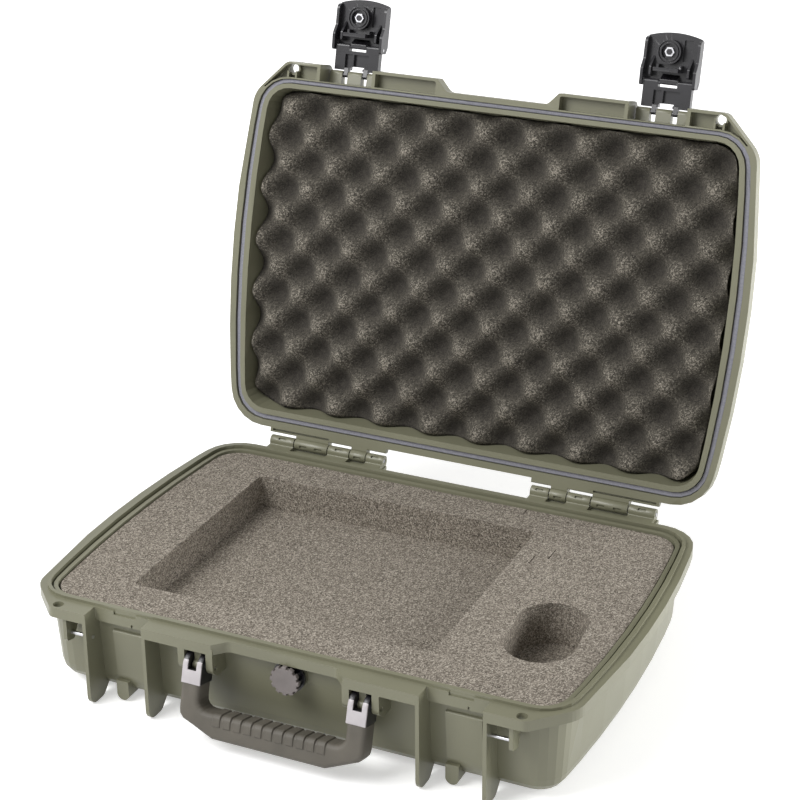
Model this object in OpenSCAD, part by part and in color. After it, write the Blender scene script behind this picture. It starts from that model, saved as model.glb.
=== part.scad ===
// Moulded hard case for a laptop: a ribbed base and lid on two pinned hinges,
// two press-and-pull latches, a folding handle, a purge valve and foam inside.
// Origin: middle of the resting panel, on the floor. X right, Y back, Z up.
// The lid stands open at its stop.

/* [Body] */
// Inside width at the rim, halfway back
inside_w = 456; // [430:1:480]
// Inside depth at the rim, front to back
inside_d = 297; // [280:1:320]
// Height of the parting plane above the floor
base_h = 85.2; // [78:0.1:100]
// Height of the closed lid above the parting plane
lid_h = 39.3; // [36:0.1:48]
// How far the feet and ribs reach below the body
foot_h = 4.5; // [3:0.5:7]
// Thickness of the moulded walls
wall = 4.5; // [3.5:0.1:5.5]
// How far the walls lean in from the rim to the closed end
draft = 4; // [2:0.5:6]
// Outer radius between the walls and the bottom
bottom_r = 15; // [12:1:17]
// Outer radius between the walls and the top of the lid
lid_edge_r = 13; // [11:1:15]
// Inside radius of the upright corners
corner_r = 22; // [20:1:26]
// How far the sides bow out, inside
inner_bow = 9; // [6:0.5:10]
// How far the sides bow out along the outer rim
outer_bow = 12; // [9:0.5:13]

/* [Rim] */
// Width of the rim along the front
rim_w = 13; // [12:0.5:15]
// Width of the rim along the sides
rim_side_w = 17; // [15:0.5:19]
// Width of the rim along the back
rim_back_w = 16; // [14:0.5:18]
// Reach of the front flange beyond the rim
flange_reach = 10.7; // [9:0.1:12]
// Thickness of the flange plate
flange_t = 4.2; // [3:0.1:5]
// Height of the skirt around the flange
skirt_h = 9.2; // [8:0.1:11]
// Thickness of the skirt
skirt_t = 2.8; // [2:0.1:3.5]
// Height of the sealing ridge above the parting plane
ridge_h = 2.4; // [1.5:0.1:3]
// Gap between base and lid when closed
seam_gap = 0.3; // [0.2:0.1:0.5]
// Thickness of the gasket
gasket_t = 3; // [2:0.1:4]

/* [Front] */
// Half width of the recess in the middle of the flange
recess_half = 47; // [40:1:52]
// Where the two middle flanges start, from the centre
step_x = 57; // [54:1:60]
// Inner edge of each latch bay, from the centre
bay_in = 120; // [118:0.5:124]
// Outer edge of each latch bay, from the centre
bay_out = 171.5; // [170:0.5:176]
// Thickness of the upright ribs beside the bays
rib_t = 3.2; // [2.5:0.1:4]
// Where the ear's straight front ends, from the centre
ear_x = 205; // [203:0.5:210]
// Padlock hole radius
padlock_r = 4.5; // [3:0.1:5]
// Padlock hole, from the centre
padlock_x = 200; // [198:0.5:201]

/* [Hinge] */
// Hinge pin radius
hinge_pin_r = 2; // [1.5:0.1:2.5]
// Hinge knuckle radius
knuckle_r = 5; // [4.5:0.1:6]
// Height of the hinge axis above the parting plane
hinge_up = 2.2; // [1.5:0.1:3]
// Distance of the hinge axis behind the rim
hinge_back = 11.8; // [11:0.1:14]
// Running clearance of every pin in its bore
pin_fit = 0.05; // [0.02:0.01:0.1]
// Gap between neighbouring knuckles
knuckle_gap = 1; // [0.6:0.1:1.5]
// Angle of the open lid
open_angle = 104.1; // [90:0.1:110]

/* [Latch] */
// Latch pivot above the parting plane
latch_up = 21.8; // [21:0.1:24]
// Latch pivot in front of the front wall
latch_out = 12.2; // [12:0.1:13]
// Half width of the link
link_half = 21.6; // [18:0.1:22]
// Distance between the link pivot and the lever pivot
link_len = 25; // [24:0.5:27]
// Lever pivot to the free end of the lever, at the middle
lever_len = 42.5; // [40:0.5:46]
// Half width of the lever
lever_half = 23.5; // [22:0.1:24]
// Radius of both latch pins
latch_pin_r = 1.5; // [1.2:0.1:1.8]
// Hook below the link pivot
hook_drop = 34.5; // [34:0.1:36]
// Radius of the latch button
button_r = 6.8; // [5:0.1:7]
// Travel of the latch button
button_travel = 2; // [1:0.1:2.5]

/* [Handle] */
// Handle pivots, from the centre
pivot_x = 71.5; // [70:0.5:73]
// Handle pivot below the parting plane
pivot_down = 22.7; // [22:0.1:24]
// Handle pivot behind the flange front
pivot_in = 4.5; // [4:0.1:6]
// Radius of the handle pins
handle_pin_r = 2; // [1.5:0.1:2.5]
// How far the hanging handle leans out
handle_lean = 15.9; // [12:0.1:18]
// Underside of the grip below the pins
grip_drop = 54.4; // [52:0.1:56]
// Height of the grip's middle bar
grip_bar = 20.7; // [18:0.1:22]
// Depth of the grip, front to back
grip_depth = 20; // [18:0.5:21]
// Number of finger ribs on the grip
finger_ribs = 11; // [7:1:13]

/* [Valve] */
// Valve centre below the parting plane
valve_down = 21.2; // [21:0.1:26]
// Valve centre, right of the middle
valve_x = 3; // [-10:0.5:10]
// Radius of the valve cap
valve_r = 12.5; // [9:0.5:13]
// Radius of the valve stem
stem_r = 6; // [4:0.5:7]
// Number of teeth around the valve
valve_teeth = 12; // [8:1:16]

/* [Foam] */
// Top of the base foam below the parting plane
foam_below = 5.2; // [3:0.1:8]
// Thickness of the pad under the base foam
pad_t = 12; // [12:0.5:16]
// Width of the laptop pocket
laptop_w = 267; // [240:1:300]
// Depth of the laptop pocket, front to back
laptop_d = 220; // [200:1:240]
// How deep the laptop pocket is cut
laptop_cut = 27; // [15:1:40]
// Laptop pocket centre, from the middle of the case
laptop_at = [-31.3, 8.1];
// Mouse pocket length
mouse_l = 94; // [80:1:120]
// Mouse pocket width
mouse_w = 57; // [50:1:70]
// How deep the mouse pocket is cut
mouse_cut = 34; // [20:1:45]
// Number of the lid foam's waves across the case
crate_waves_x = 9.6; // [8:0.1:11]
// Number of the lid foam's waves, front to back
crate_waves_y = 6.11; // [5:0.01:7]
// Height of the lid foam's peaks
crate_h = 13; // [8:0.5:16]

/* [Hidden] */

$fn = 48;
body_mid_y = 7.7;
cav_front = body_mid_y - inside_d / 2;
cav_back = body_mid_y + inside_d / 2;
bow_span = 150;
wall_d = rim_w - wall;
front_wall_y = cav_front - wall;
rim_front_y = cav_front - rim_w;
rim_back_y = cav_back + rim_back_w;
flange_y = rim_front_y - flange_reach;
bay_y = front_wall_y - wall;
bay_panel_h = 12.2;
floor_z = foot_h + wall;
lid_low = base_h + seam_gap;
lid_top = base_h + lid_h;
lid_flange_h = 12;
outer_half = inside_w / 2 + rim_side_w;
chamfer_y = flange_y + 31;

// Bands of the rim, from its outer edge inward
gasket_out_d = 5;
gasket_in_d = 8.8;
groove_fit = 0.2;
ridge_out_d = 5.6;
ridge_in_d = 8.2;
channel_in_d = 10;
channel_depth = 3;
groove_h = ridge_h + gasket_t;

hinge_y = rim_back_y + hinge_back;
hinge_z = base_h + hinge_up;
// Knuckle spans of one hinge, from the centre outward, base and lid in turn
hinge_in = inside_w / 2 - 156;
base_knuckles = [for (s = [[0, 17], [34.5, 56], [91.5, 115.5]]) [hinge_in + s[0], hinge_in + s[1]]];
lid_knuckles = [for (i = [0, 1]) [base_knuckles[i][1] + knuckle_gap, base_knuckles[i + 1][0] - knuckle_gap]];
leaf_x = [hinge_in - 1, hinge_in + 117.5];
turn_gap = 0.5;

latch_x = (bay_in + bay_out) / 2;
latch_y = front_wall_y - latch_out;
latch_z = base_h + latch_up;
button_x = -2.6;
button_z = -51.3;
button_seat = 5.6;
button_stem_r = 2.5;
boss_r = 10.4;
lever_y = -1.6;
lever_arc_r = 75;
nut_seat = 7;
stem_in = 13;
cap_z = 8.6;
seal_t = 1.8;
strap_y = flange_y + 9.5;
strap_z = base_h - 25.2;
pivot_z = base_h - pivot_down;
valve_z = base_h - valve_down;
strap_r = 1.5;
gusset_x = [191.4, 194.6];
padlock_y = flange_y + 6.2;
handle_y = flange_y + pivot_in;
yoke_r = 10;
yoke_drop = 14.1;
prong_in = 3.8;
prong_out = 8.3;
leg_in = pivot_x - 8;
leg_out = pivot_x + 8.5;
bar_top = grip_bar - grip_drop;
rib_w = 7.2;
rib_span = 91;
foam_top = base_h - foam_below;
pad_top = floor_z + 0.3 + pad_t;
foam_gap = 0.5;
mouse_at = [171.4, -35.6];
mouse_turn = 95;
crate_cols = 38;
crate_rows = 26;
crate_front_y = cav_front + 3;
crate_back_y = cav_back - 3.6;
crate_top_z = lid_top - wall - 0.3;
crate_rim_gap = 3;
crate_turn_x = 83.4;
crate_turn_y = 236.8;

olive = [0.478, 0.502, 0.408];
black = [0.1, 0.1, 0.11];
steel = [0.78, 0.78, 0.8];

// Points of an arc that rounds corner b between a and c
function unit(v) = v / norm(v);
function corner_arc(a, b, c, r, n = 5) =
    let (u = unit(a - b), v = unit(c - b), half = acos(u * v) / 2,
         d = r / tan(half), o = b + unit(u + v) * r / sin(half),
         s = b + u * d - o, e = b + v * d - o,
         a0 = atan2(s.y, s.x), turn = atan2(e.y, e.x) - a0,
         sweep = turn > 180 ? turn - 360 : turn < -180 ? turn + 360 : turn)
    [for (i = [0 : n]) o + r * [cos(a0 + sweep * i / n), sin(a0 + sweep * i / n)]];

// Outline through vertices [x, y, radius], each corner rounded
function rounded(p) = let (m = len(p)) [for (i = [0 : m - 1])
    let (a = p[(i + m - 1) % m], b = p[i], c = p[(i + 1) % m])
    each (b[2] > 0 ? corner_arc([a.x, a.y], [b.x, b.y], [c.x, c.y], b[2]) : [[b.x, b.y]])];

function mirrored(p) = concat(p, [for (i = [len(p) - 1 : -1 : 0]) [-p[i].x, p[i].y, p[i][2]]]);

// Half width of a side that bows out, at depth y
function side_x(half, bow, y) = half - bow * pow(y / bow_span, 2);

// Outline of the rim at a distance d in from its outer edge
function band_side(d) = inside_w / 2 + rim_side_w * (1 - d / rim_w);
function band_bow(d) = inner_bow + (outer_bow - inner_bow) * (1 - d / rim_w);
function band(d) =
    let (front = cav_front - rim_w + d, back = cav_back + rim_back_w * (1 - d / rim_w),
         r = max(3, corner_r + rim_w - d), h = band_side(d), w = band_bow(d),
         ends = [for (i = [0 : 7]) front + (back - front) * i / 7])
    rounded(mirrored([for (i = [0 : 7]) [side_x(h, w, ends[i]), ends[i], i % 7 == 0 ? r : 0]]));

// Outline of the flange with its recess, bays and ears, drawn in by e
function flange(e) =
    let (bow_y = [for (i = [2 : 6]) chamfer_y + (rim_back_y - chamfer_y) * i / 7],
         half = outer_half - e)
    rounded(mirrored(concat(
        [[recess_half, rim_front_y + e, 8], [step_x + e, flange_y + e, 1.5],
         [bay_in - e, flange_y + e, 0.6], [bay_in - e, bay_y + e, 0.6],
         [bay_out + e, bay_y + e, 0.6], [bay_out + e, flange_y + e, 0.6],
         [ear_x - e / 3, flange_y + e, 9],
         [side_x(outer_half, outer_bow, chamfer_y) - e, chamfer_y, 26]],
        [for (y = bow_y) [side_x(half, outer_bow, y), y, 0]],
        [[side_x(half, outer_bow, rim_back_y), rim_back_y - e, corner_r + rim_w - e]])));

module plate(pts, low, high) {
    translate([0, 0, low]) linear_extrude(high - low) polygon(pts);
}

// Closed solid through rings of equal point count, lowest ring first
module loft(rings) {
    n = len(rings[0]);
    last = len(rings) - 1;
    sides = [for (k = [0 : last - 1], i = [0 : n - 1])
        let (a = k * n + i, b = k * n + (i + 1) % n) each [[a, a + n, b + n], [a, b + n, b]]];
    polyhedron([for (r = rings) each r],
        concat([[for (i = [0 : n - 1]) i]], [[for (i = [n - 1 : -1 : 0]) last * n + i]], sides));
}

function ring(d, z) = [for (p = band(d)) [p.x, p.y, z]];

// Drafted tub with a rounded closed end: band d at the rim, end at z_end
function lean(z, z_rim, z_end) = draft * (z_rim - z) / (z_rim - z_end);
function tub_rings(d, z_rim, z_end, r, steps = 4) =
    let (s = z_end > z_rim ? 1 : -1)
    concat([ring(d, z_rim)], [for (i = [0 : steps]) let (a = 90 * i / steps)
        ring(d + draft + r * (1 - cos(a)), z_end - s * r * (1 - sin(a)))]);
function reversed(v) = [for (i = [len(v) - 1 : -1 : 0]) v[i]];

module base_tub(d, z_rim, z_end, r) { loft(reversed(tub_rings(d, z_rim, z_end, r))); }
module lid_tub(d, z_rim, z_end, r) { loft(tub_rings(d, z_rim, z_end, r)); }

// Side profile given as [y, z] points, rounded, and extruded from x0 to x1
module profile(x0, x1, p) {
    translate([x0, 0, 0]) rotate([90, 0, 90]) linear_extrude(x1 - x0) polygon(rounded(p));
}

module rod(x0, x1, y, z, r) { translate([x0, y, z]) rotate([0, 90, 0]) cylinder(h = x1 - x0, r = r); }

module both_sides() {
    children();
    mirror([1, 0, 0]) children();
}

// Places lid pieces, drawn closed, at the open stop
module opened() {
    translate([0, hinge_y, hinge_z]) rotate([-open_angle, 0, 0])
        translate([0, -hinge_y, -hinge_z]) children();
}

// Latch pieces are drawn hanging from the link pivot and stand out from the open lid
module latch_place(side) {
    opened() translate([side * latch_x, latch_y, latch_z]) rotate([-90, 0, 0]) children();
}

// Bays and knuckles repeat on both sides of the middle, they aren't mirrored
module at_bays() { for (side = [-1, 1]) translate([side * latch_x, 0, 0]) children(); }

module base_ribs() {
    for (x = [bay_in - rib_t, bay_out])
        profile(x, x + rib_t, [
            [front_wall_y + draft, base_h - flange_t, 0], [flange_y, base_h - flange_t, 0],
            [flange_y + 0.5, 0, 9], [flange_y + 20, 0, 7],
            [flange_y + 32, 12, 4], [front_wall_y + wall + 4, 30, 0]]);
    // gusset that carries the outer end of the strap pin
    profile(gusset_x[0], gusset_x[1], [
        [front_wall_y + 2, base_h - flange_t, 0], [flange_y + 2.5, base_h - flange_t, 0],
        [flange_y + 2.5, strap_z - 5, 3], [strap_y + 3, strap_z - 7.5, 2],
        [front_wall_y + 2, strap_z + 8, 0]]);
}

// Drawn about the middle of a bay
module bay_wall() {
    bay_half = (bay_out - bay_in) / 2;
    // panel that the latch hooks under, with the slot beside its ledge
    difference() {
        translate([-bay_half, bay_y, base_h - bay_panel_h]) cube([2 * bay_half, skirt_t, bay_panel_h]);
        translate([7.5, bay_y - 1, base_h - bay_panel_h - 1]) cube([1.6, skirt_t + 2, 5]);
    }
    // proud panel down the bay, and the slim foot that reaches below the body
    profile(-12, 18, [[front_wall_y - 1.6, 65, 2], [front_wall_y + 1.9, 18, 20],
        [front_wall_y + 12, foot_h + 0.5, 6], [front_wall_y + 20, 12, 0], [front_wall_y + 8, 67, 0]]);
    translate([-6.5, front_wall_y + 15, 0]) rotate([90, 0, 0]) linear_extrude(16) union() {
        translate([0, 6.5]) circle(5.5);
        translate([-5.5, 6.5]) square([11, 12]);
    }
}

// Notch between the two tabs on top of a bay's panel
module bay_notch() { translate([-8, bay_y - 1, base_h - 3.2]) cube([20.4, 2.4, 5]); }

module handle_lugs() {
    inner_lug = [[front_wall_y + 2, base_h - flange_t, 0], [flange_y, base_h - flange_t, 0],
        [flange_y, pivot_z - 2.5, 7], [flange_y + 7.5, pivot_z - 8.5, 4],
        [front_wall_y + 2, pivot_z - 8.5, 0]];
    profile(pivot_x - 15.5, pivot_x - 9.5, inner_lug);
    profile(pivot_x + 9.5, pivot_x + 15.5, inner_lug);
    // middle lug between the yoke's prongs, with its web behind the pin
    rod(pivot_x - 3, pivot_x + 3, handle_y, pivot_z, handle_pin_r + 1.8);
    profile(pivot_x - 3, pivot_x + 3, [[front_wall_y + 2, base_h - flange_t, 0],
        [handle_y, base_h - flange_t, 0], [handle_y, pivot_z - 3.5, 0],
        [front_wall_y + 2, pivot_z - 5, 0]]);
}

module base_hinge() {
    // leaf under the lid knuckles, then an arm and a knuckle at each base span
    profile(leaf_x[0], leaf_x[1], [[cav_back + wall, base_h - 10, 0], [hinge_y - 3, base_h - 10, 2],
        [hinge_y + 2, base_h - 6, 0.8], [hinge_y + 2, hinge_z - knuckle_r - turn_gap, 0.5],
        [cav_back + wall, hinge_z - knuckle_r - turn_gap, 0]]);
    for (s = base_knuckles) {
        profile(s[0], s[1], [[rim_back_y - 2, base_h - 8, 0], [hinge_y, base_h - 8, 2],
            [hinge_y + knuckle_r, hinge_z - 2, 2], [hinge_y + knuckle_r, hinge_z, 0],
            [hinge_y - knuckle_r, hinge_z, 0], [hinge_y - knuckle_r, base_h, 1],
            [rim_back_y - 2, base_h, 0]]);
        rod(s[0], s[1], hinge_y, hinge_z, knuckle_r);
    }
}

// Small moulding pocket in a knuckle, at an angle up from the front
module knuckle_pocket(x, up) {
    translate([x, hinge_y, hinge_z]) rotate([-up, 0, 0])
        translate([-3.6, -knuckle_r - 1, -1.1]) cube([7.2, 2.7, 2.2]);
}

module base_body() {
    difference() {
        plate(flange(0), base_h - skirt_h, base_h);
        plate(flange(skirt_t), base_h - skirt_h - 1, base_h - flange_t);
    }
    base_tub(wall_d, base_h, foot_h, bottom_r);
    // sealing ridge
    difference() {
        plate(band(ridge_out_d), base_h - 1, base_h + ridge_h);
        plate(band(ridge_in_d), base_h - 2, base_h + ridge_h + 1);
    }
    // resting panel under the floor
    translate([-165, -112, 0]) cube([330, 234, foot_h + 1]);
    both_sides() {
        base_ribs();
        handle_lugs();
        base_hinge();
        // ring round the padlock hole
        translate([padlock_x, padlock_y, base_h - skirt_h]) cylinder(h = skirt_h - 1, r = padlock_r + 1.6);
    }
    at_bays() bay_wall();
}

module base_shell() color(olive) difference() {
    union() {
        difference() {
            base_body();
            base_tub(rim_w, base_h + 1, floor_z, bottom_r - wall);
            difference() {
                plate(band(ridge_in_d), base_h - channel_depth, base_h + 1);
                plate(band(channel_in_d), base_h - channel_depth - 1, base_h + 2);
            }
        }
        // flat seats for the valve's seal outside and its nut inside
        translate([valve_x, front_wall_y, valve_z]) rotate([-90, 0, 0]) {
            cylinder(h = wall - 0.5, r = valve_r + 1.5);
            translate([0, 0, 2]) cylinder(h = nut_seat - 2, r = stem_r + 5);
        }
    }
    both_sides() {
        translate([padlock_x, padlock_y, base_h - skirt_h - 5]) cylinder(h = 20, r = padlock_r);
        rod(bay_out - 1, gusset_x[1] - 1, strap_y, strap_z, strap_r + pin_fit);
        rod(pivot_x - 16, pivot_x + 16, handle_y, pivot_z, handle_pin_r + pin_fit);
        rod(leaf_x[0] - 1, leaf_x[1] + 1, hinge_y, hinge_z, hinge_pin_r + pin_fit);
        for (s = base_knuckles) knuckle_pocket((s[0] + s[1]) / 2, 48);
    }
    at_bays() bay_notch();
    translate([valve_x, front_wall_y - 5, valve_z]) rotate([-90, 0, 0])
        cylinder(h = 20, r = stem_r + pin_fit);
}

module lid_ribs() {
    for (x = [bay_in - rib_t, bay_out])
        profile(x, x + rib_t, [[front_wall_y + 2, lid_low, 0], [flange_y, lid_low, 0],
            [flange_y, lid_low + 24, 10], [front_wall_y + 8, lid_top - 2, 8],
            [front_wall_y + 14, lid_top - 10, 0]]);
}

// Knuckles that carry the link, three on each latch
module lid_latch_knuckles() {
    for (s = [[-24.5, -12.4], [-6.8, 6.8], [12.4, 23.5]]) {
        rod(s[0], s[1], latch_y, latch_z, 3.1);
        profile(s[0], s[1], [[latch_y, latch_z - 3.1, 0], [front_wall_y + 4, latch_z - 5, 0],
            [front_wall_y + 4, latch_z + 5, 0], [latch_y, latch_z + 3.1, 0]]);
    }
}

module lid_hinge_leaf() {
    profile(leaf_x[0], leaf_x[1], [[cav_back + wall, lid_low, 0], [hinge_y - knuckle_r - 2.5, lid_low, 1],
        [hinge_y - knuckle_r - 2.5, lid_low + 4.5, 1.5], [rim_back_y - 4, lid_low + 9, 0],
        [cav_back + wall, lid_low + 9, 0]]);
    for (s = lid_knuckles) {
        profile(s[0], s[1], [[rim_back_y - 3, lid_low, 0], [hinge_y - knuckle_r - 1, lid_low, 0],
            [hinge_y, hinge_z, 0], [hinge_y, hinge_z + knuckle_r, 0],
            [rim_back_y - 3, hinge_z + knuckle_r + 2, 0]]);
        rod(s[0], s[1], hinge_y, hinge_z, knuckle_r);
    }
}

module lid_shell() color(olive) opened() difference() {
    union() {
        difference() {
            plate(flange(0), lid_low, lid_low + lid_flange_h);
            // pockets in the mating side of the ears and the middle flanges
            difference() {
                plate(flange(2.4), lid_low - 1, lid_low + lid_flange_h - 3);
                plate(band(gasket_out_d - 1.6), lid_low - 2, lid_low + lid_flange_h);
                translate([-step_x - 1, flange_y, lid_low - 2])
                    cube([2 * step_x + 2, rim_w + flange_reach, lid_flange_h]);
                translate([-outer_half, chamfer_y - 6, lid_low - 2])
                    cube([2 * outer_half, inside_d + rim_w + rim_back_w, lid_flange_h]);
            }
        }
        lid_tub(wall_d, lid_low, lid_top, lid_edge_r);
        both_sides() {
            lid_ribs();
            lid_hinge_leaf();
            // ring round the padlock hole and the two ribs that tie it to the rim
            translate([padlock_x, padlock_y, lid_low + 5])
                cylinder(h = lid_flange_h - 6, r = padlock_r + 1.6);
            for (x = [-5, 3])
                translate([padlock_x + x, padlock_y + 2, lid_low + 1]) cube([1.8, 8, lid_flange_h - 2]);
        }
        at_bays() lid_latch_knuckles();
    }
    lid_tub(rim_w, lid_low - 1, lid_top - wall, lid_edge_r - wall);
    difference() {
        plate(band(gasket_out_d - groove_fit), lid_low - 1, lid_low + groove_h);
        plate(band(gasket_in_d + groove_fit), lid_low - 2, lid_low + groove_h + 1);
    }
    both_sides() {
        translate([padlock_x, padlock_y, lid_low - 1]) cylinder(h = lid_flange_h + 2, r = padlock_r);
        rod(leaf_x[0] - 1, leaf_x[1] + 1, hinge_y, hinge_z, hinge_pin_r + pin_fit);
        for (x = [lid_knuckles[0][0] + 7.8, lid_knuckles[1][0] + 9, lid_knuckles[1][1] - 9])
            knuckle_pocket(x, 4 - open_angle);
        // slot between the rim and the outer half of the leaf
        translate([hinge_in + 57, rim_back_y + 0.8, lid_low - 1]) cube([58, 1.8, 4]);
    }
    at_bays() rod(-26, 25, latch_y, latch_z, latch_pin_r + pin_fit);
}

module lid_gasket() color([0.55, 0.55, 0.58]) opened() difference() {
    plate(band(gasket_out_d), lid_low + ridge_h, lid_low + groove_h);
    plate(band(gasket_in_d), lid_low + ridge_h - 1, lid_low + groove_h + 1);
}

module base_foam_pad() color([0.45, 0.43, 0.41])
    loft([ring(rim_w + draft + bottom_r - wall + foam_gap, floor_z + 0.3),
          ring(rim_w + draft + 3.5, floor_z + 5), ring(rim_w + draft + foam_gap, pad_top)]);

module base_foam() color([0.56, 0.53, 0.50]) difference() {
    loft([ring(rim_w + foam_gap + lean(pad_top, base_h, floor_z) + 0.5, pad_top + 0.3),
          ring(rim_w + foam_gap + lean(foam_top, base_h, floor_z), foam_top)]);
    plate([for (p = rounded(mirrored([[laptop_w / 2, -laptop_d / 2, 5], [laptop_w / 2, laptop_d / 2, 5]])))
        [p.x + laptop_at.x, p.y + laptop_at.y]], foam_top - laptop_cut, foam_top + 1);
    translate([0, 0, foam_top - mouse_cut]) mouse_pocket(mouse_cut + 1);
    // room for the valve's nut behind the front wall
    translate([valve_x, cav_front - 1, valve_z]) rotate([-90, 0, 0]) cylinder(h = 13, r = stem_r + 6);
}

module mouse_pocket(h) {
    translate([mouse_at.x, mouse_at.y, 0]) rotate([0, 0, mouse_turn]) {
        translate([-(mouse_l - mouse_w) / 2, -mouse_w / 2, 0]) cube([mouse_l - mouse_w, mouse_w, h]);
        for (s = [-1, 1]) translate([s * (mouse_l - mouse_w) / 2, 0, 0]) cylinder(h = h, r = mouse_w / 2);
    }
}

// Convoluted foam: a grid of peaks and dips over the lid's cavity
function crate_y(j) = crate_front_y + (crate_back_y - crate_front_y) * j / crate_rows;
function crate_corner(y) = let (r = corner_r - 2, t = min(y - crate_front_y, crate_back_y - y))
    t >= r ? 0 : r - sqrt(r * r - pow(r - t, 2));
function crate_half(y) = side_x(inside_w / 2 - 4.5, inner_bow, y) - crate_corner(y);
function crate_z(x, y) = lid_low + crate_rim_gap + crate_h / 2
    - crate_h / 2 * cos(360 * crate_waves_x * x / inside_w + crate_turn_x)
        * cos(360 * crate_waves_y * (y - body_mid_y) / inside_d + crate_turn_y);
module lid_foam() color([0.23, 0.21, 0.2]) opened() {
    n = crate_cols + 1;
    lean_in = 1 - (draft + lid_edge_r - wall) / (inside_w / 2);
    low = [for (j = [0 : crate_rows], i = [0 : crate_cols])
        let (y = crate_y(j), x = crate_half(y) * (2 * i / crate_cols - 1)) [x, y, crate_z(x, y)]];
    high = [for (j = [0 : crate_rows], i = [0 : crate_cols])
        let (p = low[j * n + i]) [p.x * lean_in, body_mid_y + (p.y - body_mid_y) * 0.915, crate_top_z]];
    edge = concat([for (i = [0 : crate_cols]) i], [for (j = [1 : crate_rows]) j * n + crate_cols],
        [for (i = [crate_cols - 1 : -1 : 0]) crate_rows * n + i],
        [for (j = [crate_rows - 1 : -1 : 1]) j * n]);
    m = len(edge);
    pts = concat(low, [for (k = edge) high[k]]);
    faces = concat(
        [for (j = [0 : crate_rows - 1], i = [0 : crate_cols - 1]) let (a = j * n + i)
            each [[a, a + 1, a + n + 1], [a, a + n + 1, a + n]]],
        [for (k = [0 : m - 1]) let (k2 = (k + 1) % m, top = len(low))
            each [[edge[k], top + k, top + k2], [edge[k], top + k2, edge[k2]]]],
        [[for (k = [m - 1 : -1 : 0]) len(low) + k]]);
    polyhedron(pts, faces);
}

module hinge_pin(side) color(steel)
    scale([side, 1, 1]) rod(leaf_x[0] + 1.5, leaf_x[1] - 1.5, hinge_y, hinge_z, hinge_pin_r);

module strap_pin(side) color(steel)
    scale([side, 1, 1]) rod(bay_out - 0.5, gusset_x[1] - 1.5, strap_y, strap_z, strap_r);

module handle_pin(side) color(steel) scale([side, 1, 1])
    rod(pivot_x - 14, pivot_x + 14, handle_y, pivot_z, handle_pin_r);

// Handle pieces are drawn hanging straight down from the pins
module hanging() { translate([0, handle_y, pivot_z]) rotate([-handle_lean, 0, 0]) children(); }

// Yoke: two round prongs on the pin, joined by a front plate and a floor
module handle_yoke(side) color([0.86, 0.85, 0.86]) scale([side, 1, 1]) hanging() difference() {
    union() {
        for (x = [pivot_x - prong_out, pivot_x + prong_in]) {
            rod(x, x + prong_out - prong_in, 0, 0, yoke_r);
            translate([x, -yoke_r, -yoke_drop]) cube([prong_out - prong_in, 2 * yoke_r, yoke_drop]);
        }
        translate([pivot_x - prong_in - 1, -yoke_r, -yoke_drop]) cube([2 * prong_in + 2, 5, yoke_drop - 3]);
        translate([pivot_x - prong_in - 1, -yoke_r, -yoke_drop]) cube([2 * prong_in + 2, 2 * yoke_r, 4]);
    }
    rod(pivot_x - yoke_r, pivot_x + yoke_r, 0, 0, handle_pin_r + pin_fit);
}

// Grip: rounded sections, each from an inner point [x, z] to an outer one, led from the top
// of the right leg round its corner; the finger ribs stand up along the bar
grip_path = [[[leg_in, -yoke_drop], [leg_out, -yoke_drop]], [[leg_in, bar_top + 8], [leg_out, bar_top - 2]],
    [[leg_in - 0.6, bar_top + 4.9], [leg_out - 0.7, bar_top - 6]],
    [[leg_in - 2.3, bar_top + 2.3], [leg_out - 3.6, bar_top - 9.4]],
    [[leg_in - 4.9, bar_top + 0.6], [leg_out - 14.5, bar_top - 13.9]],
    [[leg_in - 8, bar_top], [leg_out - 25, bar_top - 18.3]],
    [[leg_in - 11, bar_top], [leg_out - 28.5, 1 - grip_drop]]];
rib_h = 1;
// Section between points a and b; a finger rib raises its inner and upper front edges by e
function grip_ring(a, b, e) = let (len_ab = norm(b - a), d = (b - a) / len_ab, half = grip_depth / 2)
    [for (p = rounded([[-half - e, -e, 4.5], [half, -e, 3.5], [half, len_ab, 4],
        [-half, len_ab, 4], [-half, 9.6, 0], [-half - e, 8.6, 0]]))
        [a.x + d.x * p.y, p.x, a.y + d.y * p.y]];
module handle_grip() color([0.39, 0.37, 0.37]) hanging() {
    right = [for (p = grip_path) grip_ring(p[0], p[1], 0)];
    steps = [[rib_w / 2, 0], [rib_w / 2 - 0.7, rib_h], [0.7 - rib_w / 2, rib_h], [-rib_w / 2, 0]];
    ribs = [for (i = [0 : finger_ribs - 1], g = steps)
        let (x = rib_span * (0.5 - i / (finger_ribs - 1)) + g[0])
        grip_ring([x, bar_top], [x, -grip_drop], g[1])];
    left = [for (r = reversed(right)) [for (p = r) [-p.x, p.y, p.z]]];
    loft(concat(right, ribs, left));
}

// Valve pieces are drawn on the front wall, their axis out of it
module valve_place() { translate([valve_x, front_wall_y, valve_z]) rotate([90, 0, 0]) children(); }

module valve_body() color(black) valve_place() difference() {
    union() {
        translate([0, 0, seal_t]) cylinder(h = 2.2, r = valve_r + 1);
        for (i = [0 : valve_teeth - 1]) rotate([0, 0, 360 * i / valve_teeth])
            translate([valve_r - 3, -1.2, 3.5]) cube([2.4, 2.4, cap_z - 4]);
        translate([0, 0, -stem_in]) cylinder(h = stem_in + cap_z, r = stem_r);
    }
    translate([0, 0, -stem_in - 1]) cylinder(h = stem_in + 5, r = stem_r - 2.5);
}

module valve_cap() color([0.64, 0.6, 0.62]) valve_place() difference() {
    translate([0, 0, cap_z]) cylinder(h = 3.8, r = valve_r);
    for (i = [0 : valve_teeth - 1]) rotate([0, 0, 360 * (i + 0.5) / valve_teeth])
        translate([valve_r - 1.5, -1.3, cap_z - 1]) cube([4, 2.6, 6]);
}

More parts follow.
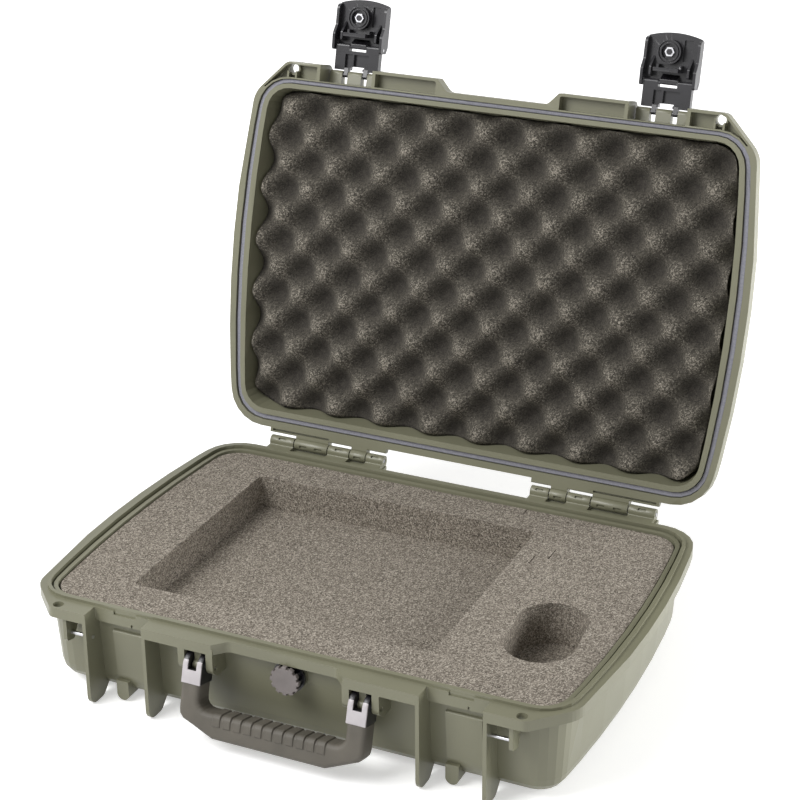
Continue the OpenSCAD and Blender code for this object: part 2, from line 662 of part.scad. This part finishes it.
module valve_seal() color([0.2, 0.2, 0.2]) valve_place() difference() {
    cylinder(h = seal_t, r = stem_r + 3);
    translate([0, 0, -1]) cylinder(h = 4, r = stem_r + pin_fit);
}

module valve_nut() color(black) translate([valve_x, front_wall_y + nut_seat, valve_z]) rotate([-90, 0, 0])
    difference() {
        cylinder(h = 4.5, r = stem_r + 4, $fn = 6);
        translate([0, 0, -1]) cylinder(h = 7, r = stem_r + pin_fit);
    }

module valve_membrane() color([0.9, 0.9, 0.88]) valve_place()
    translate([0, 0, 3.3]) cylinder(h = 0.5, r = stem_r - 2.6);

// Link: plate with a divided window, two arms on the pivot pin and two on the lever's pin
module latch_link(side) color(black) latch_place(side) difference() {
    union() {
        translate([-link_half, -5, -21.4]) cube([2 * link_half, 6.5, 17.4]);
        for (s = [-1, 1]) {
            profile(s * 9.6 - 2, s * 9.6 + 2, [[-3.2, 2.6, 2], [-3.2, -6, 0], [1.5, -6, 0], [2.8, 2.6, 2]]);
            profile(s * 14.9 - 6.5, s * 14.9 + 6.5, [[-4.8, -link_len + 5, 0],
                [-4.8, -link_len - 2.6, 2], [1.6, -link_len - 2.6, 2], [1.6, -link_len + 5, 0]]);
        }
    }
    // window, and the arch between the upper arms
    translate([-11.6, -1.6, -18.5]) cube([7, 4, 12]);
    translate([-2.8, -1.6, -18.5]) cube([14.4, 4, 12]);
    translate([-6.4, -6, -7.5]) cube([12.8, 8, 5]);
    rod(-15, 15, 0, 0, latch_pin_r + pin_fit);
    rod(-24, 24, lever_y, -link_len, latch_pin_r + pin_fit);
}

// One wall of the lever, with the ear that hides the end of its pin
module lever_wall() {
    profile(lever_half - 1.3, lever_half + 1.1, [[-9, -link_len - 2.2, 1], [-5.8, -link_len + 3.4, 2.5],
        [4.6, -link_len + 3.4, 2.5], [5.4, -link_len - 11, 2], [0.8, -link_len - 19, 2],
        [0.6, -link_len - lever_len + 6, 4], [-9, -link_len - lever_len + 4, 2]]);
    // fin beside the hook
    profile(16, 17.8, [[-7, -link_len - 23, 0], [-7, -link_len - 5, 0], [3, -link_len - 5, 2],
        [3, -link_len - 13, 2]]);
}

// Lever: arched plate between two walls, a ringed boss for the button, and the hook bar
module latch_lever(side) color(black) latch_place(side) difference() {
    union() {
        intersection() {
            translate([-lever_half, -9, -link_len - lever_len]) cube([2 * lever_half, 3, lever_len - 2.2]);
            translate([0, 5, lever_arc_r - link_len - lever_len]) rotate([90, 0, 0])
                cylinder(h = 20, r = lever_arc_r, $fn = 96);
        }
        for (s = [-1, 1]) scale([s, 1, 1]) lever_wall();
        translate([button_x, -9, button_z]) rotate([-90, 0, 0]) cylinder(h = 9.5, r = boss_r);
        // hook bar and the two webs that carry it
        translate([-12, -6.5, -hook_drop - 3.2]) cube([22, latch_out + 4.7, 3.2]);
        for (x = [-12, 8]) translate([x, -6.5, -hook_drop - 6]) cube([2, 8, 6]);
        // eye between the link's lower arms
        profile(-7.5, 7.5, [[-7, -link_len - 8, 0], [-7.5, -link_len - 3.6, 0], [-4.2, -link_len + 1, 1.5],
            [1.2, -link_len + 1.5, 1.5], [1.2, -link_len - 3, 1]]);
    }
    translate([button_x, 0, button_z]) rotate([90, 0, 0]) {
        translate([0, 0, 5]) cylinder(h = 6, r = button_r + 0.3);
        translate([0, 0, -2]) cylinder(h = 20, r = button_stem_r + 0.1);
        translate([0, 0, -5]) cylinder(h = 8.5, r = boss_r - 3.6);
        // groove round the boss
        translate([0, 0, -2]) difference() {
            cylinder(h = 3.2, r = boss_r - 1.1);
            translate([0, 0, -1]) cylinder(h = 6, r = boss_r - 2.2);
        }
    }
    // pocket beside the boss
    translate([8.4, -8, -62]) cube([7.6, 6, 18]);
    rod(-26, 26, lever_y, -link_len, latch_pin_r + pin_fit);
}

module latch_button(side) color([0.16, 0.16, 0.17]) latch_place(side)
    translate([button_x, 0, button_z]) rotate([90, 0, 0]) {
        translate([0, 0, button_seat + button_travel]) cylinder(h = 2.6, r = button_r);
        cylinder(h = button_seat + button_travel + 1, r = button_stem_r);
    }

// Spring under the button's head
module latch_spring(side) color(steel) latch_place(side)
    translate([button_x, 0, button_z]) rotate([90, 0, 0]) translate([0, 0, 5.1])
    for (k = [0 : 1]) translate([0, 0, 0.5 + k * 1.2]) rotate_extrude()
        translate([4.4, 0]) circle(0.5, $fn = 16);

module latch_nut(side) color(steel) latch_place(side)
    translate([button_x, 0, button_z]) rotate([90, 0, 0]) translate([0, 0, 0.8]) difference() {
        cylinder(h = 2.4, r = 4.3, $fn = 6);
        translate([0, 0, -1]) cylinder(h = 5, r = button_stem_r);
    }

module latch_pivot_pin(side) color(steel) latch_place(side)
    rod(-lever_half - 1, lever_half + 1, 0, 0, latch_pin_r);
module lever_pin(side) color(steel) latch_place(side)
    rod(-lever_half - 0.8, lever_half + 0.8, lever_y, -link_len, latch_pin_r);

base_shell();
base_foam();
base_foam_pad();
lid_shell();
lid_gasket();
lid_foam();
hinge_pin(-1);  // hinge_pin_left
hinge_pin(1);  // hinge_pin_right
strap_pin(-1);  // strap_pin_left
strap_pin(1);  // strap_pin_right
handle_grip();
handle_yoke(-1);  // handle_yoke_left
handle_yoke(1);  // handle_yoke_right
handle_pin(-1);  // handle_pin_left
handle_pin(1);  // handle_pin_right
valve_body();
valve_cap();
valve_seal();
valve_nut();
valve_membrane();
latch_link(-1);  // latch_link_left
latch_link(1);  // latch_link_right
latch_lever(-1);  // latch_lever_left
latch_lever(1);  // latch_lever_right
latch_button(-1);  // latch_button_left
latch_button(1);  // latch_button_right
latch_spring(-1);  // latch_spring_left
latch_spring(1);  // latch_spring_right
latch_nut(-1);  // latch_nut_left
latch_nut(1);  // latch_nut_right
latch_pivot_pin(-1);  // latch_pivot_pin_left
latch_pivot_pin(1);  // latch_pivot_pin_right
lever_pin(-1);  // lever_pin_left
lever_pin(1);  // lever_pin_right
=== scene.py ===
# Moulded hard case for a laptop, standing open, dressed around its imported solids.
import math
import bpy
from mathutils import Matrix, Vector


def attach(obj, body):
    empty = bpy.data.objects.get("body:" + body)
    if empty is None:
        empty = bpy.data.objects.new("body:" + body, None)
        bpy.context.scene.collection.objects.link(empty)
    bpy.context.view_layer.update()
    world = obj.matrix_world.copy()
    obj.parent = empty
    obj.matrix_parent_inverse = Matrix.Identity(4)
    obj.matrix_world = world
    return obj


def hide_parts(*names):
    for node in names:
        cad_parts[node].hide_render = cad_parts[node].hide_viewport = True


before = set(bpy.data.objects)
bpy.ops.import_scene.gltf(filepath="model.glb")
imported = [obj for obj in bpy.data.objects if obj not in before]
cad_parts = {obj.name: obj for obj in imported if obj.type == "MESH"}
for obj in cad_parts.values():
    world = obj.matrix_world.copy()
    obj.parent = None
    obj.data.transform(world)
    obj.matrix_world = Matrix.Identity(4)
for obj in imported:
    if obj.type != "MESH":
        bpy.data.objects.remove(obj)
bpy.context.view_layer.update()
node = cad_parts

# Camera: a long lens at the height of a standing person's chest, to the right of the
# case and looking down on it. Its axes and its place were fitted to the photograph.
camera = bpy.data.objects.new("camera", bpy.data.cameras.new("camera"))
bpy.context.scene.collection.objects.link(camera)
camera.data.sensor_width = 36
camera.data.lens = 95.6
camera_right = Vector((0.9075964, 0.4198160, -0.0048276))
camera_up = Vector((-0.1670833, 0.3717170, 0.9131865))
camera_back = Vector((0.3851648, -0.8279982, 0.4075133))
camera.matrix_world = Matrix((camera_right, camera_up, camera_back)).transposed().to_4x4()
camera.location = (0.6775, -1.3932, 0.9277)
camera.data.clip_end = 20
bpy.context.scene.camera = camera

# Shell: base and lid are injection moulded from polypropylene in olive drab, with a fine
# spark-eroded texture from the mould, rounded arrises and a slight satin sheen.


def srgb(code):
    """Linear colour with alpha from a six-digit sRGB hex value."""
    parts = [int(code[i:i + 2], 16) / 255 for i in (0, 2, 4)]
    return [c / 12.92 if c < 0.04045 else ((c + 0.055) / 1.055) ** 2.4 for c in parts] + [1.0]


def add(tree, kind, settings=None, links=None, stops=()):
    """Adds a node with its settings, its incoming links, and a ramp's (place, hex) stops."""
    made = tree.nodes.new("ShaderNode" + kind)
    for key, value in (settings or {}).items():
        if isinstance(key, str) and hasattr(made, key):
            setattr(made, key, value)
        else:
            made.inputs[key].default_value = value
    for key, source in (links or {}).items():
        tree.links.new(source, made.inputs[key])
    for i, (spot, code) in enumerate(stops):
        stop = made.color_ramp.elements[i] if i < 2 else made.color_ramp.elements.new(spot)
        stop.position, stop.color = spot, srgb(code)
    return made


def material(name, **sockets):
    """Starts a material: gives it, its node tree, its shader with plain values, and the place."""
    made = bpy.data.materials.new(name)
    made.use_nodes = True
    tree = made.node_tree
    shader = tree.nodes["Principled BSDF"]
    for key, value in sockets.items():
        shader.inputs[key.replace("_", " ")].default_value = value
    return made, tree, shader, add(tree, "TexCoord").outputs["Object"]


def mottled(name, per_metre, dark, pale, detail=3.0, **sockets):
    """A material whose colour drifts between two hex values, in so many patches to the metre."""
    made, tree, shader, place = material(name, **sockets)
    patch = add(tree, "TexNoise", {"Scale": per_metre, "Detail": detail}, {"Vector": place})
    tint = add(tree, "ValToRGB", links={"Fac": patch.outputs["Fac"]},
               stops=[(0.3, dark), (0.7, pale)])
    tree.links.new(tint.outputs["Color"], shader.inputs["Base Color"])
    return made, tree, shader, place


def dress(obj, finish):
    """Puts one material on an object."""
    obj.data.materials.clear()
    obj.data.materials.append(finish)


def soften(obj, width_mm, angle=35, segments=2):
    """Rounds the moulded arrises of a CAD node without touching its mesh."""
    weld = obj.modifiers.new("weld", "WELD")
    weld.merge_threshold = 1e-5
    bevel = obj.modifiers.new("arris", "BEVEL")
    bevel.width = width_mm / 1000
    bevel.segments = segments
    bevel.limit_method = "ANGLE"
    bevel.angle_limit = math.radians(angle)
    bevel.harden_normals = True
    bevel.use_clamp_overlap = True


# polypropylene's flow in the mould clouds the olive faintly, in patches of about 110 mm
shell_plastic, tree, shader, place = mottled("olive_polypropylene_moulded", 9.0,
                                             "74735f", "7e7d68", Roughness=0.34, IOR=1.49)
# the mould's texture has grains of about 0.4 mm, drawn at 0.9 mm so that they show
grain = add(tree, "TexNoise", {"Scale": 1100.0, "Detail": 2.0}, {"Vector": place})
relief = add(tree, "Bump", {"Strength": 0.12, "Distance": 0.0004}, {"Height": grain.outputs["Fac"]})
tree.links.new(relief.outputs["Normal"], shader.inputs["Normal"])
for name in ("base_shell", "lid_shell"):
    dress(node[name], shell_plastic)
    soften(node[name], 0.7)

# Gasket: a grey closed-cell rubber cord, extruded and pressed into the lid's groove. The skin
# is smooth and matt, and its cells, drawn at about 1.4 mm, just speckle the grey.
gasket_rubber = mottled("grey_gasket_rubber", 700.0, "7e7e88", "8f8f98", 2.0,
                        Roughness=0.55, IOR=1.5)[0]
dress(node["lid_gasket"], gasket_rubber)
soften(node["lid_gasket"], 0.9)

# Base foam: a block of grey open-cell polyurethane foam, knife-cut to a press fit in the
# tub, with pockets for what it carries and a pad of the same foam under it.
inside_w, inside_d, mid_y = 456, 297, 7.7
rim_front_w, rim_side_w, rim_back_w = 13, 17, 16
outer_bow, inner_bow, bow_span = 12, 9, 150
foam_top, foam_low, foam_inset, foam_corner = 83.5, 21.6, 1.2, 21
pad_top, pad_low, pad_inset, pad_corner = 21.3, 9.4, 6.5, 18
slit_w, slit_deep = 0.9, 6
# pockets: centre, size, corner radius, and the mouse's turn and steps to a corner
laptop_pocket, laptop_floor = (-31.3, 8.1, 267, 220, 5), 53.0
mouse_pocket, mouse_floor = (171.4, -35.6, 94, 57, 28.4, 95, 10), 46.0
nut_room, nut_low, nut_high = (3, -136, 26, 18, 4), 50, 78


def mesh_piece(name, points_mm, faces, smooth=True):
    """A new object from points in millimetres, in the shared frame."""
    data = bpy.data.meshes.new(name)
    data.from_pydata([tuple(c / 1000 for c in p) for p in points_mm], [], faces)
    data.update()
    for face in data.polygons:
        face.use_smooth = smooth
    made = bpy.data.objects.new(name, data)
    bpy.context.scene.collection.objects.link(made)
    return made


def tub_outline(inset, corner, steps=8, rows=24):
    """Outline of the cavity drawn in by inset: bowed sides, rounded corners, front first."""
    d = rim_front_w + inset
    half = inside_w / 2 + rim_side_w * (1 - d / rim_front_w)
    bow = inner_bow + (outer_bow - inner_bow) * (1 - d / rim_front_w)
    front = mid_y - inside_d / 2 - rim_front_w + d
    back = mid_y + inside_d / 2 + rim_back_w * (1 - d / rim_front_w)

    def side(y):
        return half - bow * (y / bow_span) ** 2

    right = []
    for i in range(steps + 1):
        a = math.radians(-90 + 90 * i / steps)
        y = front + corner + corner * math.sin(a)
        right.append((side(y) - corner + corner * math.cos(a), y))
    for i in range(1, rows):
        y = front + corner + (back - front - 2 * corner) * i / rows
        right.append((side(y), y))
    for i in range(steps + 1):
        a = math.radians(90 * i / steps)
        y = back - corner + corner * math.sin(a)
        right.append((side(y) - corner + corner * math.cos(a), y))
    return right + [(-x, y) for x, y in reversed(right)]


def prism(name, outline, low, high):
    """Closed upright prism over an outline."""
    n = len(outline)
    points = [(x, y, low) for x, y in outline] + [(x, y, high) for x, y in outline]
    faces = [tuple(reversed(range(n))), tuple(range(n, 2 * n))]
    faces += [(i, (i + 1) % n, n + (i + 1) % n, n + i) for i in range(n)]
    return mesh_piece(name, points, faces)


def rounded_box(cx, cy, w, d, r, turn=0.0, steps=6):
    """Outline of a rectangle with rounded corners, turned about its centre."""
    out = []
    for sx, sy, a0 in ((1, -1, -90), (1, 1, 0), (-1, 1, 90), (-1, -1, 180)):
        for i in range(steps + 1):
            a = math.radians(a0 + 90 * i / steps)
            out.append((sx * (w / 2 - r) + r * math.cos(a), sy * (d / 2 - r) + r * math.sin(a)))
    c, s = math.cos(math.radians(turn)), math.sin(math.radians(turn))
    return [(cx + x * c - y * s, cy + x * s + y * c) for x, y in out]


def settle(obj):
    """Makes an object's modifiers part of its mesh."""
    made = bpy.data.meshes.new_from_object(obj.evaluated_get(bpy.context.evaluated_depsgraph_get()))
    obj.modifiers.clear()
    obj.data = made


def cut(obj, cutter):
    """Takes the cutter out of the object for good."""
    step = obj.modifiers.new("cut", "BOOLEAN")
    step.object = cutter
    step.solver = "EXACT"
    settle(obj)
    bpy.data.objects.remove(cutter)


base_foam = prism("base_foam_block", tub_outline(foam_inset, foam_corner), foam_low, foam_top)
cut(base_foam, prism("pocket", rounded_box(*laptop_pocket), laptop_floor, foam_top + 3))
cut(base_foam, prism("pocket", rounded_box(*mouse_pocket), mouse_floor, foam_top + 3))
cut(base_foam, prism("nut_room", rounded_box(*nut_room), nut_low, nut_high))
# slits left by the knife: centre, size across and size front to back
for x, y, w, d in ((105, 146, 112, slit_w), (107, 127, 25, slit_w), (117, 72.5, slit_w, 15),
                   (129, 86, slit_w, 18), (79.5, 150, slit_w, 12)):
    corners = [(x - w / 2, y - d / 2), (x + w / 2, y - d / 2),
               (x + w / 2, y + d / 2), (x - w / 2, y + d / 2)]
    cut(base_foam, prism("slit", corners, foam_top - slit_deep, foam_top + 1))
edge = base_foam.modifiers.new("soft_edge", "BEVEL")
edge.width, edge.segments, edge.angle_limit = 0.0012, 3, math.radians(50)
edge.harden_normals = True
settle(base_foam)
foam_pad = prism("base_foam_underlay", tub_outline(pad_inset, pad_corner), pad_low, pad_top)


def foam(name, cells_per_metre, grain_per_metre, stops, painted_shading=None):
    """Open-cell foam: specks of random brightness, times an optional factor of painted light and
    shade, and a fine relief.
    """
    made, tree, shader, place = material(name, Roughness=0.95, IOR=1.35)
    cells = add(tree, "TexVoronoi", {"Scale": cells_per_metre}, {"Vector": place})
    fine = add(tree, "TexNoise", {"Scale": grain_per_metre, "Detail": 2.0}, {"Vector": place})
    speck = add(tree, "Math", {"operation": "MULTIPLY"},
                {0: cells.outputs["Color"], 1: fine.outputs["Fac"]})
    if painted_shading:
        speck = add(tree, "Math", {"operation": "MULTIPLY"},
                    {0: speck.outputs["Value"], 1: painted_shading(tree, place)})
    tint = add(tree, "ValToRGB", links={"Fac": speck.outputs["Value"]}, stops=stops)
    tree.links.new(tint.outputs["Color"], shader.inputs["Base Color"])
    relief = add(tree, "Bump", {"Strength": 0.6, "Distance": 0.0006},
                 {"Height": fine.outputs["Fac"]})
    tree.links.new(relief.outputs["Normal"], shader.inputs["Normal"])
    return made


# cut cells scatter all light, so the foam is dead matt; they are 0.5 mm across, drawn at
# about 1 mm so that the speckle shows
grey_foam = foam("grey_polyurethane_foam_open_cell", 1000.0, 1500.0,
                 [(0.0, "453f38"), (0.26, "847c71"), (0.56, "c6beb1")])
for piece, solid in ((base_foam, "base_foam"), (foam_pad, "base_foam_pad")):
    dress(piece, grey_foam)
    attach(piece, "base")
    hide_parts(solid)

# Lid foam: a sheet of charcoal polyurethane foam cut on a convoluting machine into rows
# of peaks and dips, glued by its flat back into the lid.
hinge_y, hinge_z, open_angle = 184.0, 87.4, 104.1
crest_x, crest_y, crest_h = 47.5, 48.6, 20.0
shift_x, shift_y = 11.0, 121.5
lid_low, lid_roof, rim_gap = 85.5, 119.6, 3.0
front_gap, back_gap, side_gap, corner_r = 3, 3.6, 4.5, 20
taper_x, taper_y = 0.945, 0.915
lid_normal = (0, 0.9699, -0.2436)


def opened(p):
    """A point of the closed lid, carried to the open stop."""
    a = math.radians(-open_angle)
    dy, dz = p[1] - hinge_y, p[2] - hinge_z
    return (p[0], hinge_y + dy * math.cos(a) - dz * math.sin(a),
            hinge_z + dy * math.sin(a) + dz * math.cos(a))


def crest(x, y):
    """Height of the wave, 1 on a peak and -1 in a dip."""
    return (math.cos(2 * math.pi * (x + shift_x) / crest_x)
            * math.cos(2 * math.pi * (y + shift_y) / crest_y))


across, deep = 228, 150
foam_front, foam_back = mid_y - inside_d / 2 + front_gap, mid_y + inside_d / 2 - back_gap
points, high = [], []
for j in range(deep + 1):
    y = foam_front + (foam_back - foam_front) * j / deep
    t = min(y - foam_front, foam_back - y)
    corner = 0 if t >= corner_r else corner_r - math.sqrt(corner_r ** 2 - (corner_r - t) ** 2)
    half = inside_w / 2 - side_gap - inner_bow * (y / bow_span) ** 2 - corner
    for i in range(across + 1):
        x = half * (2 * i / across - 1)
        z = lid_low + rim_gap + crest_h / 2 - crest_h / 2 * crest(x, y)
        points.append((x, y, z))
        high.append((x * taper_x, mid_y + (y - mid_y) * taper_y, lid_roof))
n = across + 1
# the points round the sheet's edge in order, each joined to one on the flat back
rim = (list(range(n)) + [j * n + across for j in range(1, deep + 1)]
       + [deep * n + i for i in range(across - 1, -1, -1)]
       + [j * n for j in range(deep - 1, 0, -1)])
faces = [(a, a + 1, a + n + 1, a + n) for j in range(deep) for a in range(j * n, j * n + across)]
top, m = len(points), len(rim)
faces += [(rim[k], top + k, top + (k + 1) % m, rim[(k + 1) % m]) for k in range(m)]
faces.append(tuple(top + k for k in reversed(range(m))))
lid_foam = mesh_piece("lid_foam_convoluted", [opened(p) for p in points + [high[k] for k in rim]],
                      [tuple(reversed(f)) for f in faces])


def painted_peak_light_and_dip_shade(tree, place):
    """Painted light and shade: brightens the peaks and darkens the dips; depth runs along the lid's
    normal, 158 mm at the peaks to 178.
    """
    depth = add(tree, "VectorMath", {"operation": "DOT_PRODUCT", 1: lid_normal}, {0: place})
    painted_shading = add(tree, "MapRange",
               {"From Min": 0.158, "From Max": 0.176, "To Min": 1.45, "To Max": 0.3},
               {"Value": depth.outputs["Value"]})
    return painted_shading.outputs["Result"]


# the same open cells in a darker foam, drawn at about 1.1 mm; painted shade darkens the dips and a
# painted highlight brightens the peaks
charcoal_foam = foam("charcoal_polyurethane_foam_convoluted", 900.0, 1400.0,
                     [(0.0, "2d2a27"), (0.3, "57534b"), (0.66, "a29b8f")], painted_peak_light_and_dip_shade)
dress(lid_foam, charcoal_foam)
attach(lid_foam, "lid")
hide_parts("lid_foam")

# Pins and small hardware: stainless steel rod, turned and cut to length, with nuts and springs
# of the same steel. It is bright, with soft marks from the tool drawn at about 1.7 mm.
steel = mottled("stainless_steel_turned", 600.0, "b9b9bd", "d2d2d5", 2.0,
                Metallic=1.0, Roughness=0.28)[0]
for name in node:
    if "pin" in name or "latch_nut" in name or "latch_spring" in name:
        dress(node[name], steel)

# Latches: link, lever and button are moulded from glass-filled nylon in gloss black. The flow
# of the melt clouds the black in patches of about 17 mm.
black_nylon = mottled("black_nylon_moulded", 60.0, "1d1c1f", "27262a",
                      Roughness=0.26, IOR=1.53)[0]
for name in node:
    if "latch_link" in name or "latch_lever" in name or "latch_button" in name:
        dress(node[name], black_nylon)
        soften(node[name], 0.3)

# Handle: a grip over-moulded in thermoplastic rubber, soft and nearly matt, on two yokes of
# moulded black nylon, whose front faces carry a painted highlight in pale grey.
leg_normal, painted_highlight_from = (0, 0.9617, -0.274), -0.1798
grip_rubber = mottled("grey_thermoplastic_rubber", 40.0, "545048", "615c53", 4.0,
                      Roughness=0.6, IOR=1.5)[0]
dress(node["handle_grip"], grip_rubber)
soften(node["handle_grip"], 0.4, 40)
yoke_nylon, tree, shader, place = material("black_nylon_with_painted_highlight",
                                           Roughness=0.35, IOR=1.53)
# the painted highlight covers the face lying more than 8.8 mm before the pin, measured square to
# the leaning leg
ahead = add(tree, "VectorMath", {"operation": "DOT_PRODUCT", 1: leg_normal}, {0: place})
face = add(tree, "Math", {"operation": "LESS_THAN", 1: painted_highlight_from}, {0: ahead.outputs["Value"]})
flow = add(tree, "TexNoise", {"Scale": 60.0, "Detail": 3.0}, {"Vector": place})
half = add(tree, "Math", {"operation": "MULTIPLY", 1: 0.5}, {0: flow.outputs["Fac"]})
both = add(tree, "Math", {"operation": "MULTIPLY_ADD", 1: 0.5},
           {0: face.outputs["Value"], 2: half.outputs["Value"]})
# the two pale stops are the painted highlight on the front face; the dark ones are the black nylon
# with its flow clouding
tint = add(tree, "ValToRGB", links={"Fac": both.outputs["Value"]},
           stops=[(0.15, "1d1c1f"), (0.45, "29282c"), (0.55, "aca6a8"), (0.85, "c6c1c3")])
tree.links.new(tint.outputs["Color"], shader.inputs["Base Color"])
for side in ("left", "right"):
    dress(node["handle_yoke_" + side], yoke_nylon)
    soften(node["handle_yoke_" + side], 0.4)

# Purge valve: a toothed black body behind a notched grey cap, both moulded in nylon, screwed
# through the front wall. The cap's texture is duller than the latches' gloss.
cap_nylon = mottled("grey_nylon_moulded", 60.0, "6a6462", "7a7371", Roughness=0.5, IOR=1.53)[0]
dress(node["valve_cap"], cap_nylon)
soften(node["valve_cap"], 0.4)
for name in ("valve_body", "valve_nut", "valve_seal"):
    dress(node[name], black_nylon)
# the membrane is a disc of pressed felt, white and fibrous, the fibres drawn at 1.1 mm
membrane = mottled("white_membrane_felt", 900.0, "d8d8d4", "e6e6e2", 2.0, Roughness=0.9)[0]
dress(node["valve_membrane"], membrane)

# Studio: white paper that keeps the case's shadow and pales to pure white away from it, a
# white surround, and two soft lamps: one high on the left, one behind on the right.


def shown(tree):
    """Gives 1 on camera, glossy and transmission rays, which see the pale background."""
    ray = add(tree, "LightPath").outputs
    mirrored = add(tree, "Math", {"operation": "MAXIMUM"},
                   {0: ray["Is Glossy Ray"], 1: ray["Is Transmission Ray"]})
    either = add(tree, "Math", {"operation": "MAXIMUM"},
                 {0: ray["Is Camera Ray"], 1: mirrored.outputs["Value"]})
    return either.outputs["Value"]


reach = 6000
square = ((-1, -1), (1, -1), (1, 1), (-1, 1))
floor = mesh_piece("floor", [(x * reach, y * reach, 0) for x, y in square], [(0, 1, 2, 3)],
                   smooth=False)
floor_paint, tree, shader, place = material("white_paper", Roughness=0.9)
shader.inputs["Base Color"].default_value = srgb("f2f2f2")
shader.inputs["Emission Color"].default_value = (1, 1, 1, 1)
# the paper's own glow rises to full white between 0.4 and 1.3 m from the case's middle
away = add(tree, "VectorMath", {"operation": "LENGTH"}, {0: place})
pale = add(tree, "MapRange", {"From Min": 0.4, "From Max": 1.3, "To Min": 0.45, "To Max": 1.0},
           {"Value": away.outputs["Value"]})
glow = add(tree, "Math", {"operation": "MULTIPLY"}, {0: shown(tree), 1: pale.outputs["Result"]})
tree.links.new(glow.outputs["Value"], shader.inputs["Emission Strength"])
dress(floor, floor_paint)
world = bpy.data.worlds.new("studio")
bpy.context.scene.world = world
world.use_nodes = True
tree = world.node_tree
tree.nodes.clear()
dim = add(tree, "Background", {"Color": (1, 1, 1, 1), "Strength": 0.35})
white = add(tree, "Background", {"Color": (1, 1, 1, 1), "Strength": 1.0})
mixed = add(tree, "MixShader", links={0: shown(tree), 1: dim.outputs["Background"],
                                      2: white.outputs["Background"]})
add(tree, "OutputWorld", links={"Surface": mixed.outputs["Shader"]})


def lamp(name, place, aim, size, watts):
    """A soft square lamp that looks at a point; sizes in metres."""
    data = bpy.data.lights.new(name, "AREA")
    data.size, data.energy = size, watts
    made = bpy.data.objects.new(name, data)
    bpy.context.scene.collection.objects.link(made)
    made.location = place
    made.rotation_euler = (Vector(aim) - Vector(place)).to_track_quat("-Z", "Y").to_euler()


lamp("key", (-0.9, -1.1, 1.6), (0, 0, 0.1), 1.2, 38)
lamp("side", (1.6, 0.9, 0.5), (0, 0, 0.1), 1.0, 32)
bpy.context.scene.view_settings.view_transform = "Standard"
